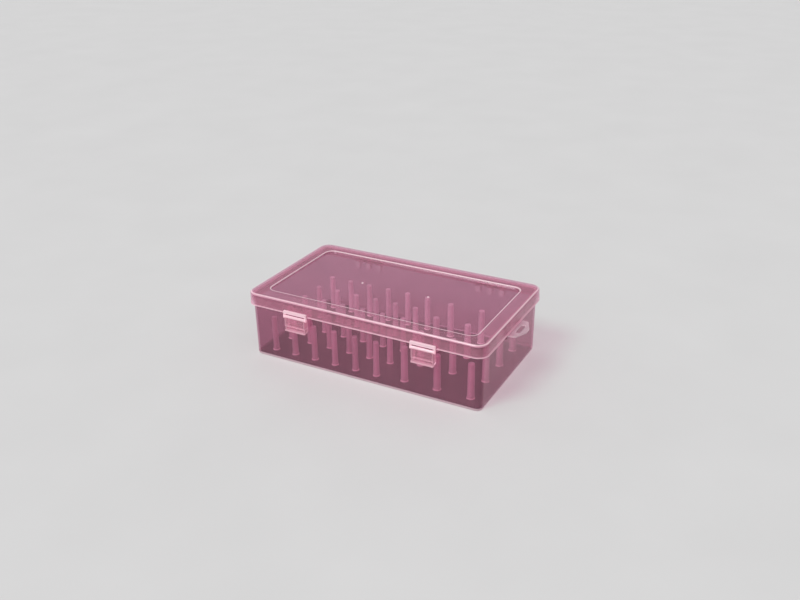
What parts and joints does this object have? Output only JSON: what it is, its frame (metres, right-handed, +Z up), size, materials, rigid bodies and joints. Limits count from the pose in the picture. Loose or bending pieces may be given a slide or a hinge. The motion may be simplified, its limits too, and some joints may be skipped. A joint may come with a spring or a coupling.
{
  "type": "thread spool storage box",
  "caption": "Translucent pink lidded plastic box with rows of upright pegs for thread spools, two front snap latches, a rear hinge and a hang tab.",
  "frame": {"origin": "centre of the flat underside of the tray", "axes": "+X along the length towards the hang tab, -Y the front with the latches, +Z up"},
  "size_m": [0.2616, 0.152, 0.0675],
  "materials": {
    "tray_plastic": "translucent pink moulded polypropylene, semi-gloss",
    "lid_plastic": "translucent pink moulded polypropylene, polished panel and skirt",
    "latch_plastic": "milky pink moulded polypropylene",
    "tab_plastic": "uncoloured milky moulded polypropylene",
    "peg_plastic": "translucent pink moulded polypropylene",
    "pin_steel": "plain drawn steel rod"
  },
  "bodies": {
    "tray": {"base_tray": "tray_plastic", "hang_tab": "tab_plastic", "hinge_pin_left": "pin_steel", "hinge_pin_right": "pin_steel", "small_peg_row1_col1": "peg_plastic", "small_peg_row1_col2": "peg_plastic", "small_peg_row1_col3": "peg_plastic", "small_peg_row1_col4": "peg_plastic", "small_peg_row1_col5": "peg_plastic", "small_peg_row1_col6": "peg_plastic", "small_peg_row2_col1": "peg_plastic", "small_peg_row2_col2": "peg_plastic", "small_peg_row2_col3": "peg_plastic", "small_peg_row2_col4": "peg_plastic", "small_peg_row2_col5": "peg_plastic", "small_peg_row2_col6": "peg_plastic", "small_peg_row3_col1": "peg_plastic", "small_peg_row3_col2": "peg_plastic", "small_peg_row3_col3": "peg_plastic", "small_peg_row3_col4": "peg_plastic", "small_peg_row3_col5": "peg_plastic", "small_peg_row3_col6": "peg_plastic", "small_peg_row4_col1": "peg_plastic", "small_peg_row4_col2": "peg_plastic", "small_peg_row4_col3": "peg_plastic", "small_peg_row4_col4": "peg_plastic", "small_peg_row4_col5": "peg_plastic", "small_peg_row4_col6": "peg_plastic", "small_peg_row5_col1": "peg_plastic", "small_peg_row5_col2": "peg_plastic", "small_peg_row5_col3": "peg_plastic", "small_peg_row5_col4": "peg_plastic", "small_peg_row5_col5": "peg_plastic", "small_peg_row5_col6": "peg_plastic", "large_peg_row1_col1": "peg_plastic", "large_peg_row1_col2": "peg_plastic", "large_peg_row1_col3": "peg_plastic", "large_peg_row2_col1": "peg_plastic", "large_peg_row2_col2": "peg_plastic", "large_peg_row2_col3": "peg_plastic", "large_peg_row3_col1": "peg_plastic", "large_peg_row3_col2": "peg_plastic", "large_peg_row3_col3": "peg_plastic", "large_peg_row4_col1": "peg_plastic", "large_peg_row4_col2": "peg_plastic", "large_peg_row4_col3": "peg_plastic"},
    "lid": {"lid": "lid_plastic"},
    "latch_left": {"latch_left": "latch_plastic"},
    "latch_right": {"latch_right": "latch_plastic"}
  },
  "joints": [
    {"name": "lid_hinge", "type": "hinge", "parent": "tray", "child": "lid", "pos_m": [0, 0.0744, 0.0552], "axis": [-1, 0, 0], "range_deg": [0, 115]},
    {"name": "latch_left_hinge", "type": "hinge", "parent": "lid", "child": "latch_left", "pos_m": [-0.067, -0.0734, 0.0529], "axis": [-1, 0, 0], "range_deg": [0, 100]},
    {"name": "latch_right_hinge", "type": "hinge", "parent": "lid", "child": "latch_right", "pos_m": [0.067, -0.0734, 0.0529], "axis": [-1, 0, 0], "range_deg": [0, 100]}
  ]
}
